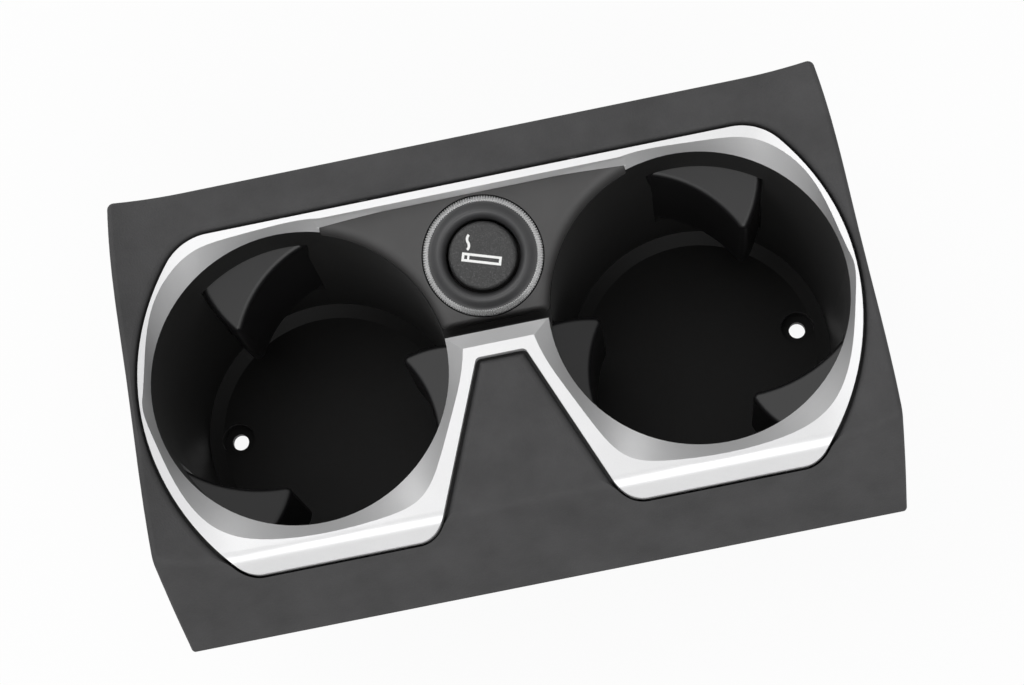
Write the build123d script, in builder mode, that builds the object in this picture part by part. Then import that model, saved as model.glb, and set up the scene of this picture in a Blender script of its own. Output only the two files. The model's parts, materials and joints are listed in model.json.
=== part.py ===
"""Twin cup holder insert for a centre console, with sprung flaps and a cigarette lighter."""
import os
from math import acos, asin, atan, cos, degrees, hypot, radians, sin, sqrt

from build123d import *

os.makedirs("parts", exist_ok=True)

# Overall sizes of the insert
LENGTH = 207.2
DEPTH = 125.1
FRONT_Y = -DEPTH / 2
BACK_Y = DEPTH / 2
SIDE_BORDER = 4.9
BACK_BORDER = 15.9
BRIDGE_HALF = 14.7

# Cups, measured from the bottom of the foot rings
CUP_R = (LENGTH / 2 - SIDE_BORDER - BRIDGE_HALF) / 2
CUP_X = BRIDGE_HALF + CUP_R
CUP_Y = BACK_Y - BACK_BORDER - CUP_R
FLOOR_R = CUP_R - 2.3
FLOOR_Z = 6.0
FLOOR_T = 2.5
CUP_DEPTH = 75.0
CUP_WALL = 1.7
BEVEL_W = 4.0
BEVEL_H = 2.0
FOOT_R = CUP_R - 3.5
FOOT_W = 2.5
RIM_Z = FLOOR_Z + CUP_DEPTH
CUP_PLACES = ((-CUP_X, CUP_Y), (CUP_X, CUP_Y))

# Console fixing holes in the cup floors
HOLE_X = CUP_X + FLOOR_R - 8.7
HOLE_Y = CUP_Y + 3.2
HOLE_R = 2.5
RECESS_R = 5.0
RECESS_FLOOR_Z = 2.2
PILLAR_R = 6.8

# Fascia skin
SKIN = 2.4
TOP_Z = RIM_Z + 6.5
LIP_DROP = 26.2
LIP_Z = TOP_Z - LIP_DROP
CREASE_Y = CUP_Y - CUP_R - 6.6
CREASE_R = 4.5
LIP_RUN = CREASE_Y - FRONT_Y
CURL_W = 23.6
FLAT_HALF = LENGTH / 2 - CURL_W
SIDE_RISE = 5.0
CURL_R = (CURL_W**2 + SIDE_RISE**2) / (2 * SIDE_RISE)
FLANGE = 10.0
BACK_TUCK = 2.5
LIP_TUCK = 1.6
SIDE_BOW = 0.205
OPENING_ROLL = 2.2
CORNER_R = 2.0
EDGE_R = 1.2

# Silver trim ring
TRIM_GAP = 0.8
TRIM_PROUD = 0.3
TRIM_T = 2.4
TRIM_BACK_Y = CUP_Y + CUP_R + 2.2
TRIM_FRONT_Y = CUP_Y - CUP_R - 10.9
TRIM_SIDE_R = 70.0
TRIM_SIDE_X = LENGTH / 2 - 3.3 - TRIM_SIDE_R
TRIM_SIDE_Y = CUP_Y - 2.8
TRIM_CORNER_R = 15.0
TRIM_FRONT_R = 9.0
SKIRT_T = 1.7
LEDGE_W = 1.6
LEDGE_T = 1.2
LEDGE_GAP = 0.3

# Edge of the trim's funnel round one cup, as angle and width of the flare at the fascia's height
LIP_CURVE = (
    (0, 0.4), (28, 0.9), (48, 3.4), (60, 4.0), (75, 1.6), (90, 0.5),
    (106, 1.6), (125, 3.5), (152, 4.0), (178, 5.2), (198, 3.8), (211, 3.4),
    (225, 5.3), (238, 8.0), (250, 6.0), (266, 4.1), (286, 4.8), (303, 6.1),
    (318, 3.6), (330, 1.6), (345, 0.6),
)

# Cigarette lighter, heights measured along its tilted axis from the deck
RING_R = 17.0
RING_W = 1.4
RING_RISE = 1.2
DECK_HOLE_R = RING_R + 0.35
PLUG_R = 10.2
PLUG_BORE_R = PLUG_R - 1.0
BEZEL_BORE_R = PLUG_R + 0.3
BARREL_BORE_R = PLUG_R + 0.4
BARREL_R = BARREL_BORE_R + 0.7
BARREL_TOP = -3.4
BARREL_BOTTOM = -42.0
BEZEL_SLEEVE_R = BARREL_R + 1.3
KNOB_R = PLUG_BORE_R - 0.4
KNOB_HEAD_R = BEZEL_BORE_R - 0.8
KNOB_TOP = 2.2
KNOB_ROLL = 1.4
CROWN_R = BEZEL_BORE_R + 1.9
CROWN_TOP = 2.6
KNOB_SKIRT = -12.0
HEAD_LOW = -2.2
PRESS_TRAVEL = 5.0
PRESS_GAP = 0.4
BEZEL_LOW = -16.0
SLEEVE_FLOOR = -26.0
SLEEVE_T = 1.2
ROD_R = 1.6
ROD_TOP = -8.0
CONTACT_R = 2.0
CONTACT_TOP = BARREL_BOTTOM + 2.4
CONTACT_LOW = BARREL_BOTTOM - 3.4
INSULATOR_R = 4.0
INSULATOR_TOP = BARREL_BOTTOM + 1.4
INSULATOR_LOW = BARREL_BOTTOM - 2.2
RETURN_SPRING_IN_R = 4.4
RETURN_SPRING_OUT_R = 5.4
FIT = 0.05

# Bridge between the cups: trim walls, sloping deck with the lighter, valley and notch
WALL_TOP_Y = CUP_Y + CUP_R
WALL_FOOT_Y = WALL_TOP_Y - 0.2
WALL_BOW = 1.9
WALL_LAP = 0.6
LIGHTER_Y = WALL_FOOT_Y - RING_R - 0.6
DECK_BACK_Z = RIM_Z + 2.0
DECK_FRONT_Y = LIGHTER_Y - RING_R - 0.2
DECK_DROP = 6.75
DECK_T = 4.6
DECK_SOFT = 3.6
DECK_FRONT_SOFT = 1.4
DECK_HALF = CUP_X - 12.7
DECK_TILT = degrees(atan(DECK_DROP / (WALL_FOOT_Y - DECK_FRONT_Y)))
VALLEY_FOOT_Y = DECK_FRONT_Y - 4.6
VALLEY_TOP_Y = DECK_FRONT_Y - 10.2
VALLEY_Z = RIM_Z - 10.0
NOTCH_Y = DECK_FRONT_Y - 13.4
NOTCH_HALF = 6.9
NOTCH_SLOPE = 0.404
NOTCH_TIP_R = 1.6
WELL_HALF = CUP_X - 8.7
WELL_WALL = 2.2

# Housing flange and the screws that hold it under the fascia
FLANGE_T = 2.5
FLANGE_HALF = LENGTH / 2 - 4.2
FLANGE_FRONT_Y = CUP_Y - CUP_R - 4.0
FLANGE_BACK_Y = CUP_Y + CUP_R + 9.6
BOSS_R = 3.2
SCREW_R = 1.5
SCREW_HEAD_R = 3.0
SCREW_HEAD_H = 2.2
SCREW_DEPTH = 4.0
SCREW_SIDE_X = LENGTH / 2 - 11.6
SCREW_MID_X = CUP_X - 26.7
SCREW_FRONT_X = LENGTH / 2 - 7.8
SCREW_BACK_Y = CUP_Y + CUP_R + 5.5
SCREW_MID_Y = CUP_Y + CUP_R + 6.1
SCREW_FRONT_Y = CUP_Y - CUP_R + 1.5
SCREW_NOSE_Y = CUP_Y - CUP_R + 10.0
SCREW_PLACES = (
    (-SCREW_SIDE_X, SCREW_BACK_Y), (-SCREW_MID_X, SCREW_MID_Y), (SCREW_MID_X, SCREW_MID_Y),
    (SCREW_SIDE_X, SCREW_BACK_Y), (-SCREW_FRONT_X, SCREW_FRONT_Y), (SCREW_FRONT_X, SCREW_FRONT_Y),
    (0.0, SCREW_NOSE_Y),
)

# Console clips on tabs behind the fascia, as place across, place front to back and height of the tab's end
TAB_W = 12.0
TAB_T = 2.5
TAB_H = 22.0
TAB_BACK_X = LENGTH / 2 - 41.6
TAB_FRONT_X = LENGTH / 2 - 11.6
TAB_BACK_Y = BACK_Y - SKIN - 1.5
TAB_LOW = 0.6
TAB_LIP_ROOM = 3.0925
TAB_SLOT_GAP = 0.3
CLIP_W = 9.0
CLIP_T = 0.6
CLIP_H = 9.5
CLIP_BULGE = 1.6

# Spring flaps, three to a cup, described with the hinge at angle zero
FLAP_ANGLES = (98.0, 218.0, 338.0)
FLAP_SPAN = 48.0
FLAP_TIP_R = CUP_R - 15.0
FLAP_TOP_Z = RIM_Z - 14.0
FLAP_BOTTOM_Z = RIM_Z - 56.0
FLAP_RAMP = 7.0
FLAP_CROWN = 1.0
FLAP_WALL = 1.8
FLAP_SOFT = 2.0
FLAP_HOLLOW = 3.4
PIN_PLACE_R = CUP_R + 2.4
PIN_R = 1.2
PIN_FIT = 0.05
FLAP_BACK_R = PIN_PLACE_R + 1.6
KNUCKLE_R = 2.5
WINDOW_GAP = 0.6
EAR_H = 3.0
EAR_R = 3.2
SILL_R = FLAP_BACK_R + 2.0
STOP_R = CUP_R + CUP_WALL - 0.1
STOP_REACH = 2.2
SPRING_H = 9.0
SPRING_WIRE = 0.8
SPRING_IN_R = PIN_R + 0.15
SPRING_OUT_R = SPRING_IN_R + SPRING_WIRE
SPRING_LEG = 8.0
SPRING_GAP = 0.4


def polar(radius, angle):
    """Point in plan at a radius and an angle in degrees."""
    return radius * cos(radians(angle)), radius * sin(radians(angle))


def deck_z(y):
    """Height of the sloping deck at a place from front to back."""
    return DECK_BACK_Z - (WALL_FOOT_Y - y) * DECK_DROP / (WALL_FOOT_Y - DECK_FRONT_Y)


def lip_y(drop, z):
    """Front face of the lip at a height, moved square into the lip by drop."""
    run = CREASE_Y - FRONT_Y
    shift = drop * hypot(run, LIP_DROP) / LIP_DROP
    return CREASE_Y + shift - (TOP_Z - z) * run / LIP_DROP


def slab(drop):
    """Long slab with the fascia's curled top, its surface lowered by drop."""
    wide = LENGTH / 2 - drop + SKIN
    arc_r = CURL_R + drop
    sweep_angle = degrees(asin((wide - FLAT_HALF) / arc_r))
    curl_z = TOP_Z + CURL_R
    with BuildPart() as bar:
        with BuildSketch(Plane.XZ):
            with BuildLine():
                right = CenterArc((FLAT_HALF, curl_z), arc_r, -90, sweep_angle)
                left = CenterArc((-FLAT_HALF, curl_z), arc_r, -90 - sweep_angle, sweep_angle)
                Line(left @ 1, right @ 0)
                Polyline(right @ 1, (wide, LIP_Z), (-wide, LIP_Z), left @ 0)
            make_face()
        extrude(amount=DEPTH, both=True)
    return bar.part


def envelope(drop):
    """Space under the fascia skin, its surface lowered by drop."""
    half = LENGTH / 2 - drop - SIDE_BOW
    high = TOP_Z + 3 * SIDE_RISE
    back = BACK_Y - drop
    crease_y = lip_y(drop, TOP_Z - drop)
    curled = slab(drop)
    with BuildPart() as space:
        add(curled)
        with BuildSketch(Plane.YZ):
            with BuildLine():
                Polyline(
                    (lip_y(drop, high), high), (back, high), (back, LIP_Z),
                    (lip_y(drop, LIP_Z), LIP_Z), close=True,
                )
            make_face()
        extrude(amount=LENGTH, both=True, mode=Mode.INTERSECT)
        crease = space.edges().filter_by(
            lambda e: e.center().Y < crease_y + 8 and e.center().Z > TOP_Z - drop - 0.5
        ).filter_by(lambda e: abs(e.center().X) < half)
        fillet(crease, radius=CREASE_R - drop)
        with BuildSketch(Plane.XY):
            with BuildLine():
                side = Spline(
                    (half - LIP_TUCK, FRONT_Y - 1), (half, CREASE_Y + 4), (half - 0.4, CUP_Y + 8),
                    (half - BACK_TUCK / 2, BACK_Y - 12), (half - BACK_TUCK, BACK_Y + 1),
                )
                mirror(about=Plane.YZ)
                Line(side @ 0, (-(side @ 0).X, (side @ 0).Y))
                Line(side @ 1, (-(side @ 1).X, (side @ 1).Y))
            make_face()
        extrude(amount=high, mode=Mode.INTERSECT)
    return space.part


def spectacle(grow):
    """Plan outline of the trim ring, grown evenly all round."""
    side_x = TRIM_SIDE_X + sqrt(TRIM_SIDE_R**2 - (TRIM_BACK_Y - TRIM_SIDE_Y) ** 2)
    front_x = TRIM_SIDE_X + sqrt(TRIM_SIDE_R**2 - (TRIM_FRONT_Y - TRIM_SIDE_Y) ** 2)
    inner_x = NOTCH_HALF + (NOTCH_Y - TRIM_FRONT_Y) * NOTCH_SLOPE
    with BuildSketch() as outline:
        with BuildLine():
            Line((0, TRIM_BACK_Y), (side_x, TRIM_BACK_Y))
            ThreePointArc(
                (side_x, TRIM_BACK_Y), (TRIM_SIDE_X + TRIM_SIDE_R, TRIM_SIDE_Y), (front_x, TRIM_FRONT_Y)
            )
            Polyline(
                (front_x, TRIM_FRONT_Y), (inner_x, TRIM_FRONT_Y), (NOTCH_HALF, NOTCH_Y), (0, NOTCH_Y)
            )
            mirror(about=Plane.YZ)
        make_face()
        fillet(at_points(outline, (side_x, TRIM_BACK_Y)), radius=TRIM_CORNER_R)
        fillet(at_points(outline, (front_x, TRIM_FRONT_Y), (inner_x, TRIM_FRONT_Y)), radius=TRIM_FRONT_R)
        fillet(at_points(outline, (NOTCH_HALF, NOTCH_Y)), radius=NOTCH_TIP_R)
        if grow:
            offset(amount=grow)
    return outline.sketch


def at_points(sketch, *places):
    """Corners of a sketch at the places given and at their mirror images."""
    return [
        v for v in sketch.vertices() for p in places if hypot(abs(v.X) - p[0], v.Y - p[1]) < 0.01
    ]


def funnel(grow):
    """Flared mouth of both cups, from the round rim up through the fascia."""
    high = TOP_Z + SIDE_RISE + 2
    stretch = (high - RIM_Z) / (TOP_Z - RIM_Z)
    flare = [polar(CUP_R + wide * stretch + grow, angle) for angle, wide in LIP_CURVE]
    with BuildPart() as mouth:
        with BuildSketch(Plane.XY.offset(RIM_Z)):
            with Locations((CUP_X, CUP_Y)):
                Circle(CUP_R + grow)
        with BuildSketch(Plane.XY.offset(high)):
            with BuildLine(Location((CUP_X, CUP_Y))):
                Spline(*flare, periodic=True)
            make_face()
        loft(ruled=True)
        mirror(about=Plane.YZ)
    return mouth.part


def well(points, half):
    """Bar of the bridge's cross-section, running from cup to cup."""
    with BuildPart() as bar:
        with BuildSketch(Plane.YZ):
            with BuildLine():
                Polyline(*points, close=True)
            make_face()
        extrude(amount=half, both=True)
    return bar.part


def cup_space(grow, top):
    """Inside of both cups, with the bevelled floor edge."""
    taper = (CUP_R - FLOOR_R) / CUP_DEPTH
    mouth_r = CUP_R + grow + taper * (top - RIM_Z)
    with BuildPart() as inside:
        with BuildSketch(Plane.XZ):
            with BuildLine():
                Polyline(
                    (0, FLOOR_Z - grow), (FLOOR_R - BEVEL_W + grow, FLOOR_Z - grow),
                    (FLOOR_R + grow, FLOOR_Z + BEVEL_H - grow), (mouth_r, top), (0, top), close=True,
                )
            make_face()
        revolve(axis=Axis.Z)
    with BuildPart() as pair:
        with Locations((-CUP_X, CUP_Y, 0), (CUP_X, CUP_Y, 0)):
            add(inside.part)
    return pair.part


# The lighter's own frame, tilted with the deck
tilt = radians(DECK_TILT)
lighter_origin = (0, LIGHTER_Y, deck_z(LIGHTER_Y))
lighter_up = (0, -sin(tilt), cos(tilt))
lighter_plane = Plane(origin=lighter_origin, x_dir=(1, 0, 0), z_dir=lighter_up)
lighter_side = Plane(origin=lighter_origin, x_dir=(1, 0, 0), z_dir=(0, -cos(tilt), -sin(tilt)))
lighter_axis = Axis(lighter_origin, lighter_up)


def turned(*profile, curve=()):
    """Ring turned about the lighter's axis from points of radius and height, closed by a line or a curve."""
    with BuildPart() as ring:
        with BuildSketch(lighter_side):
            with BuildLine():
                Polyline(*profile, close=not curve)
                if curve:
                    Spline(profile[-1], *curve, profile[0])
            make_face()
        revolve(axis=lighter_axis)
    return ring.part


# Places of the clip tabs, the front ones clear of the lip's inner face
TAB_FRONT_Y = lip_y(SKIN, LIP_Z + TAB_LOW + CLIP_H) + TAB_LIP_ROOM
TAB_PLACES = (
    (-TAB_BACK_X, TAB_BACK_Y, TOP_Z - TAB_H), (TAB_BACK_X, TAB_BACK_Y, TOP_Z - TAB_H),
    (-TAB_FRONT_X, TAB_FRONT_Y, LIP_Z + TAB_LOW), (TAB_FRONT_X, TAB_FRONT_Y, LIP_Z + TAB_LOW),
)

# Fascia: a skin with turned-down edges, an opening for the trim and screw bosses
fascia_space = envelope(0.0)
fascia_middle = envelope(SKIN / 2)
fascia_inside = envelope(SKIN)
fascia_slab = slab(0.0)
trim_opening = spectacle(TRIM_GAP)
ledge_outside = spectacle(TRIM_GAP + LEDGE_W)
ledge_inside = spectacle(-LEDGE_W)
ledge_top = envelope(SKIN - LEDGE_GAP)
ledge_under = envelope(SKIN + LEDGE_GAP + LEDGE_T)
seat_floor = envelope(SKIN + LEDGE_GAP)
seat_outline = spectacle(TRIM_GAP + LEDGE_GAP)
skirt_space = funnel(SKIRT_T + LEDGE_GAP)
with BuildPart() as fascia_top:
    add(fascia_slab)
    with BuildSketch(Plane.XY.offset(LIP_Z - 1)):
        add(trim_opening)
    extrude(amount=2 * LIP_DROP, mode=Mode.SUBTRACT)
    rolled = fascia_top.edges().filter_by(
        lambda e: e.position_at(0.5).Z > TOP_Z - FIT and abs(e.tangent_at(0.5).Z) < 0.6
    ).filter_by(
        lambda e: abs(e.position_at(0.5).X) < TRIM_SIDE_X + TRIM_SIDE_R + 1
        and abs(abs(e.position_at(0.5).X) - FLAT_HALF) > FIT and abs(e.position_at(0.5).Y) < BACK_Y
    )
    fillet(rolled, radius=OPENING_ROLL)
with BuildPart() as fascia_bosses:
    with Locations(*[(x, y, RIM_Z) for x, y in SCREW_PLACES]):
        Cylinder(BOSS_R, 2 * SIDE_RISE + 6, align=(Align.CENTER, Align.CENTER, Align.MIN))
    with Locations(*TAB_PLACES):
        Box(TAB_W, TAB_T, TAB_H, align=(Align.CENTER, Align.CENTER, Align.MIN))
    add(fascia_middle, mode=Mode.INTERSECT)
with BuildPart() as trim_seat:
    with BuildSketch(Plane.XY.offset(LIP_Z - 1)):
        add(seat_outline)
    extrude(amount=2 * LIP_DROP)
    add(seat_floor, mode=Mode.SUBTRACT)
with BuildPart() as fascia_ledge:
    with BuildSketch(Plane.XY.offset(LIP_Z - 1)):
        add(ledge_outside)
        add(ledge_inside, mode=Mode.SUBTRACT)
    extrude(amount=2 * LIP_DROP)
    add(ledge_top, mode=Mode.INTERSECT)
    add(ledge_under, mode=Mode.SUBTRACT)
    add(trim_seat.part, mode=Mode.SUBTRACT)
    add(skirt_space, mode=Mode.SUBTRACT)
    with Locations((0, TRIM_BACK_Y + LEDGE_GAP, RIM_Z)):
        Box(
            2 * WELL_HALF + LEDGE_GAP, CUP_R, 2 * LIP_DROP, align=(Align.CENTER, Align.MAX, Align.CENTER),
            mode=Mode.SUBTRACT,
        )
    with Locations((-LENGTH / 2, 0, TOP_Z - LEDGE_T), (LENGTH / 2, 0, TOP_Z - LEDGE_T)):
        Box(CURL_W / 2, DEPTH, LIP_DROP, align=(Align.CENTER, Align.CENTER, Align.MAX), mode=Mode.SUBTRACT)
with BuildPart() as fascia:
    add(fascia_space)
    uprights = fascia.edges().filter_by(
        lambda e: e.center().Y > BACK_Y - FIT and abs(e.center().X) > FLAT_HALF and e.length > FLANGE * 2
    ).filter_by(lambda e: e.center().Z < TOP_Z - FLANGE)
    fillet(uprights, radius=CORNER_R)
    outline = fascia.edges().filter_by(
        lambda e: e.center().Z > TOP_Z - FIT
        and (e.center().Y > BACK_Y - CORNER_R - 0.5 or abs(e.center().X) > LENGTH / 2 - BACK_TUCK - 0.6)
    )
    fillet(outline, radius=EDGE_R)
    add(fascia_inside, mode=Mode.SUBTRACT)
    with BuildSketch(Plane.YZ):
        with BuildLine():
            Polyline(
                (lip_y(FLANGE, TOP_Z - FLANGE), TOP_Z - FLANGE), (BACK_Y + 1, TOP_Z - FLANGE),
                (BACK_Y + 1, LIP_Z - 1), (lip_y(FLANGE, LIP_Z - 1), LIP_Z - 1), close=True,
            )
        make_face()
    extrude(amount=LENGTH, both=True, mode=Mode.SUBTRACT)
    add(fascia_top.part, mode=Mode.INTERSECT)
    add(fascia_ledge.part)
    add(fascia_bosses.part)
    with Locations(*[(x, y, RIM_Z) for x, y in SCREW_PLACES]):
        Cylinder(SCREW_R + FIT, 2 * SCREW_DEPTH, mode=Mode.SUBTRACT)
fascia.part.label = "fascia"
export_step(fascia.part, "parts/fascia.step")

# Trim ring: a band following the fascia, funnels round the cups and walls at the bridge
trim_prism_low = RIM_Z - 10
trim_outline = spectacle(0.0)
trim_space = envelope(-TRIM_PROUD)
trim_under = envelope(TRIM_T)
funnel_space = funnel(0.0)
funnel_skirt = funnel(SKIRT_T)
bridge_air = well(
    (
        (WALL_TOP_Y, TOP_Z + 12), (WALL_TOP_Y, TOP_Z), (WALL_FOOT_Y, RIM_Z),
        (DECK_FRONT_Y, deck_z(DECK_FRONT_Y)), (DECK_FRONT_Y - 1.5, VALLEY_Z),
        (VALLEY_FOOT_Y + 0.8, VALLEY_Z), (VALLEY_FOOT_Y, RIM_Z),
        (VALLEY_TOP_Y, TOP_Z), (VALLEY_TOP_Y, TOP_Z + 12),
    ),
    WELL_HALF,
)
bridge_walls = well(
    (
        (TRIM_BACK_Y - FIT, RIM_Z), (TRIM_BACK_Y - FIT, TOP_Z + 4), (NOTCH_Y + 0.8, TOP_Z + 4),
        (NOTCH_Y + 0.8, TOP_Z), (VALLEY_FOOT_Y - 2.4, RIM_Z),
    ),
    WELL_HALF,
)
deck_room = well(
    (
        (WALL_TOP_Y + 2 * WALL_LAP, deck_z(WALL_TOP_Y + 2 * WALL_LAP) + FIT),
        (DECK_FRONT_Y, deck_z(DECK_FRONT_Y) + FIT), (DECK_FRONT_Y, VALLEY_Z),
        (WALL_TOP_Y + 2 * WALL_LAP, VALLEY_Z),
    ),
    WELL_HALF + 1,
)
with BuildPart() as wall_slope:
    with BuildSketch(Plane.XY.offset(RIM_Z)):
        with BuildLine():
            foot = ThreePointArc(
                (-WELL_HALF, WALL_FOOT_Y - WALL_BOW), (0, WALL_TOP_Y + WALL_LAP / 2),
                (WELL_HALF, WALL_FOOT_Y - WALL_BOW),
            )
            Polyline(
                foot @ 1, (WELL_HALF, WALL_TOP_Y + WALL_LAP), (-WELL_HALF, WALL_TOP_Y + WALL_LAP), foot @ 0
            )
        make_face()
    with BuildSketch(Plane.XY.offset(TOP_Z)):
        with Locations((0, WALL_TOP_Y + 0.75 * WALL_LAP)):
            Rectangle(2 * WELL_HALF, WALL_LAP / 2)
    loft(ruled=True)
    add(deck_room, mode=Mode.SUBTRACT)
with BuildPart() as trim_skirt:
    add(funnel_skirt)
    add(bridge_walls)
    with BuildSketch(Plane.XY.offset(trim_prism_low)):
        add(trim_outline)
    extrude(amount=60, mode=Mode.INTERSECT)
    add(trim_space, mode=Mode.INTERSECT)
with BuildPart() as trim_ring:
    with BuildSketch(Plane.XY.offset(trim_prism_low)):
        add(trim_outline)
    extrude(amount=60)
    add(trim_space, mode=Mode.INTERSECT)
    add(trim_under, mode=Mode.SUBTRACT)
    add(trim_skirt.part)
    add(bridge_air, mode=Mode.SUBTRACT)
    add(wall_slope.part)
    add(funnel_space, mode=Mode.SUBTRACT)
trim_ring.part.label = "trim_ring"
export_step(trim_ring.part, "parts/trim_ring.step")

# Flap at angle zero about the cup's axis, hinge pin on the X axis
hinge = (PIN_PLACE_R, 0.0)
face_start = (PIN_PLACE_R - KNUCKLE_R + 0.1, 0.0)
tip = polar(FLAP_TIP_R, -FLAP_SPAN)
flap_reach = hypot(tip[0] - hinge[0], tip[1])
chord = hypot(tip[0] - face_start[0], tip[1])
face_mid = (
    (tip[0] + face_start[0]) / 2 - FLAP_HOLLOW * tip[1] / chord,
    tip[1] / 2 + FLAP_HOLLOW * (tip[0] - face_start[0]) / chord,
)
back_cosine = (PIN_PLACE_R**2 + FLAP_BACK_R**2 - flap_reach**2) / (2 * PIN_PLACE_R * FLAP_BACK_R)
back_angle = degrees(acos(back_cosine))
back_end = polar(FLAP_BACK_R, -back_angle)
end_x = (tip[0] + back_end[0]) / 2 - hinge[0]
end_y = (tip[1] + back_end[1]) / 2
end_angle = degrees(asin(end_y / hypot(end_x, end_y)))
end_mid = (hinge[0] - flap_reach * cos(radians(end_angle)), flap_reach * sin(radians(end_angle)))
back_length = hypot(back_end[0] - hinge[0], back_end[1])
inward = (back_end[1] / back_length, -(back_end[0] - hinge[0]) / back_length)
tip_depth = (tip[0] - hinge[0]) * inward[0] + (tip[1] - hinge[1]) * inward[1]
ramp_plane = Plane(
    origin=(hinge[0], hinge[1], FLAP_TOP_Z), x_dir=(inward[0], inward[1], 0), z_dir=(inward[1], -inward[0], 0)
)
flap_middle_z = (FLAP_TOP_Z + FLAP_BOTTOM_Z) / 2
with BuildPart() as flap_base:
    with BuildSketch(Plane.XY.offset(FLAP_BOTTOM_Z)):
        with BuildLine():
            ThreePointArc(face_start, face_mid, tip)
            ThreePointArc(tip, end_mid, back_end)
            ThreePointArc(back_end, polar(FLAP_BACK_R, -back_angle / 2), (FLAP_BACK_R, 0))
            Line((FLAP_BACK_R, 0), face_start)
        make_face()
    extrude(amount=FLAP_TOP_Z + FLAP_CROWN - FLAP_BOTTOM_Z)
    with BuildSketch(ramp_plane):
        with BuildLine():
            slope = FLAP_RAMP / tip_depth
            Polyline(
                (-10, 10 * slope), (2 * tip_depth, -2 * tip_depth * slope), (2 * tip_depth, 20), (-10, 20),
                close=True,
            )
        make_face()
    extrude(amount=2 * CUP_R, both=True, mode=Mode.SUBTRACT)
    flap_backs = flap_base.faces().filter_by(GeomType.CYLINDER).filter_by(
        lambda f: abs(hypot(f.center().X, f.center().Y) - FLAP_BACK_R) < 0.5
    )
    offset(amount=-FLAP_WALL, openings=flap_backs)
    soft_ends = flap_base.edges().filter_by(
        lambda e: e.length > FLAP_RAMP and abs(hypot(e.position_at(0.5).X - hinge[0], e.position_at(0.5).Y)
                                               - flap_reach) < 0.3
    ).filter_by(lambda e: FLAP_TOP_Z - FLAP_RAMP < e.position_at(0.5).Z < FLAP_TOP_Z)
    soft_faces = flap_base.edges().filter_by(
        lambda e: hypot(e.position_at(0.5).X - face_mid[0], e.position_at(0.5).Y - face_mid[1]) < 0.6
    ).filter_by(lambda e: e.position_at(0.5).Z > FLAP_TOP_Z - FLAP_RAMP)
    soft_tips = flap_base.edges().filter_by(Axis.Z).filter_by(
        lambda e: hypot(e.center().X - tip[0], e.center().Y - tip[1]) < 0.3
    )
    fillet(soft_ends + soft_faces + soft_tips, radius=FLAP_SOFT)
    with Locations((hinge[0], hinge[1], FLAP_BOTTOM_Z)):
        Cylinder(
            KNUCKLE_R, FLAP_TOP_Z + FLAP_CROWN - FLAP_BOTTOM_Z, align=(Align.CENTER, Align.CENTER, Align.MIN)
        )
    with BuildSketch(Plane.XY.offset(FLAP_BOTTOM_Z)):
        Circle(FLAP_BACK_R)
        Circle(STOP_R, mode=Mode.SUBTRACT)
        with Locations(hinge):
            Circle(flap_reach + STOP_REACH, mode=Mode.INTERSECT)
            Circle(flap_reach - FLAP_WALL, mode=Mode.SUBTRACT)
        with Locations((0, -CUP_R)):
            Rectangle(3 * CUP_R, 2 * CUP_R, mode=Mode.INTERSECT)
    extrude(amount=FLAP_TOP_Z - FLAP_BOTTOM_Z)
    with Locations((hinge[0], hinge[1], flap_middle_z)):
        Cylinder(SPRING_OUT_R + SPRING_GAP, SPRING_H, mode=Mode.SUBTRACT)
        Cylinder(PIN_R + PIN_FIT, 2 * CUP_DEPTH, mode=Mode.SUBTRACT)

# Hinge pin at angle zero
window_top_z = FLAP_TOP_Z + FLAP_CROWN + WINDOW_GAP
window_bottom_z = FLAP_BOTTOM_Z - WINDOW_GAP
with BuildPart() as pin_base:
    with Locations((hinge[0], hinge[1], window_bottom_z - EAR_H)):
        Cylinder(
            PIN_R, window_top_z - window_bottom_z + 2 * EAR_H, align=(Align.CENTER, Align.CENTER, Align.MIN)
        )

# Torsion spring at angle zero: a coil round the pin, one leg behind the wall and one in the flap
with BuildPart() as spring_base:
    with Locations((hinge[0], hinge[1], flap_middle_z)):
        Cylinder(SPRING_OUT_R, SPRING_H - 1)
        Cylinder(SPRING_IN_R, SPRING_H - 1, mode=Mode.SUBTRACT)
    spring_side = (SPRING_IN_R + SPRING_OUT_R) / 2
    with Locations((hinge[0] + spring_side, SPRING_LEG / 2, flap_middle_z + SPRING_H / 2 - 1)):
        Box(SPRING_WIRE, SPRING_LEG, SPRING_WIRE)
    with Locations((hinge[0] + spring_side, -SPRING_LEG / 2, flap_middle_z - SPRING_H / 2 + 1)):
        Box(SPRING_WIRE, SPRING_LEG, SPRING_WIRE)

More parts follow.
